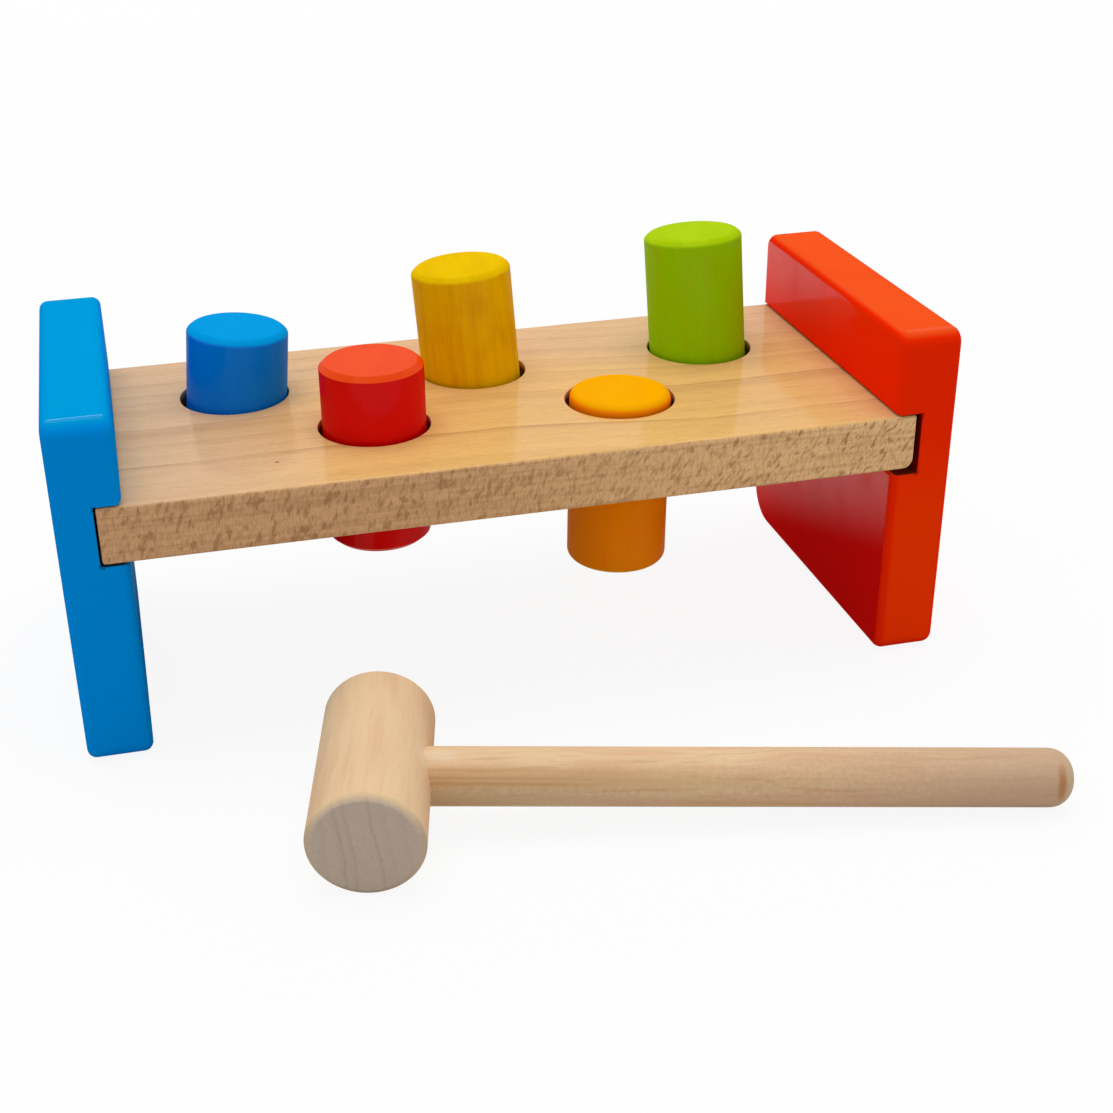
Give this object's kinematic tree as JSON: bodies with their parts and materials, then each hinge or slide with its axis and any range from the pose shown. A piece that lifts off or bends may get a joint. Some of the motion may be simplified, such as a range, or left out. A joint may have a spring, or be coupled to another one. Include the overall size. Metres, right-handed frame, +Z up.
{
  "type": "peg pounding bench",
  "caption": "Toy peg pounding bench: a holed board between end panels, coloured pegs held by rubber rings, and a turned wooden mallet.",
  "frame": {"origin": "on the floor, in the middle of the box round bench and mallet as they stand", "axes": "+X along the bench towards the red end, -Y towards the player and the mallet, +Z up"},
  "size_m": [0.25, 0.1945, 0.1132],
  "materials": {
    "beech_board": "planed beech under a thin satin clear coat",
    "blue_lacquer": "opaque blue gloss lacquer on wood",
    "red_lacquer": "opaque orange-red gloss lacquer on wood",
    "blue_stain": "blue satin lacquer on turned wood",
    "red_stain": "red satin lacquer on turned wood",
    "yellow_stain": "yellow translucent stain, the grain showing, satin",
    "orange_stain": "orange satin lacquer on turned wood",
    "green_stain": "yellow-green translucent stain, satin",
    "mallet_wood": "pale turned wood, sanded, bare",
    "dowel_wood": "bare beech, fluted",
    "ring_rubber": "matt black rubber"
  },
  "bodies": {
    "bench": {"bench_board": "beech_board", "left_end_board": "blue_lacquer", "right_end_board": "red_lacquer", "blue_grip_ring": "ring_rubber", "red_grip_ring": "ring_rubber", "yellow_grip_ring": "ring_rubber", "orange_grip_ring": "ring_rubber", "green_grip_ring": "ring_rubber", "left_front_dowel": "dowel_wood", "left_middle_dowel": "dowel_wood", "left_back_dowel": "dowel_wood", "right_front_dowel": "dowel_wood", "right_middle_dowel": "dowel_wood", "right_back_dowel": "dowel_wood"},
    "blue_peg": {"blue_peg": "blue_stain"},
    "red_peg": {"red_peg": "red_stain"},
    "yellow_peg": {"yellow_peg": "yellow_stain"},
    "orange_peg": {"orange_peg": "orange_stain"},
    "green_peg": {"green_peg": "green_stain"},
    "mallet": {"mallet_head": "mallet_wood", "mallet_handle": "mallet_wood"}
  },
  "joints": [
    {"name": "blue_peg_drive", "type": "slide", "parent": "bench", "child": "blue_peg", "axis": [0.0923, 0.0035, 0.9957], "range_m": [-0.0211, 0.0156]},
    {"name": "red_peg_drive", "type": "slide", "parent": "bench", "child": "red_peg", "axis": [0.0018, 0.0018, 1], "range_m": [-0.0194, 0.0174]},
    {"name": "yellow_peg_drive", "type": "slide", "parent": "bench", "child": "yellow_peg", "axis": [-0.0662, 0.0296, 0.9974], "range_m": [-0.0331, 0.0037]},
    {"name": "orange_peg_drive", "type": "slide", "parent": "bench", "child": "orange_peg", "axis": [0.0192, 0.0105, 0.9998], "range_m": [-0.0025, 0.0343]},
    {"name": "green_peg_drive", "type": "slide", "parent": "bench", "child": "green_peg", "axis": [-0.0487, 0.0698, 0.9964], "range_m": [-0.0363, 0.0004]},
    {"name": "mallet_lift", "type": "slide", "parent": "bench", "child": "mallet", "axis": [0, 0, 1], "range_m": [0, 0.15]}
  ]
}
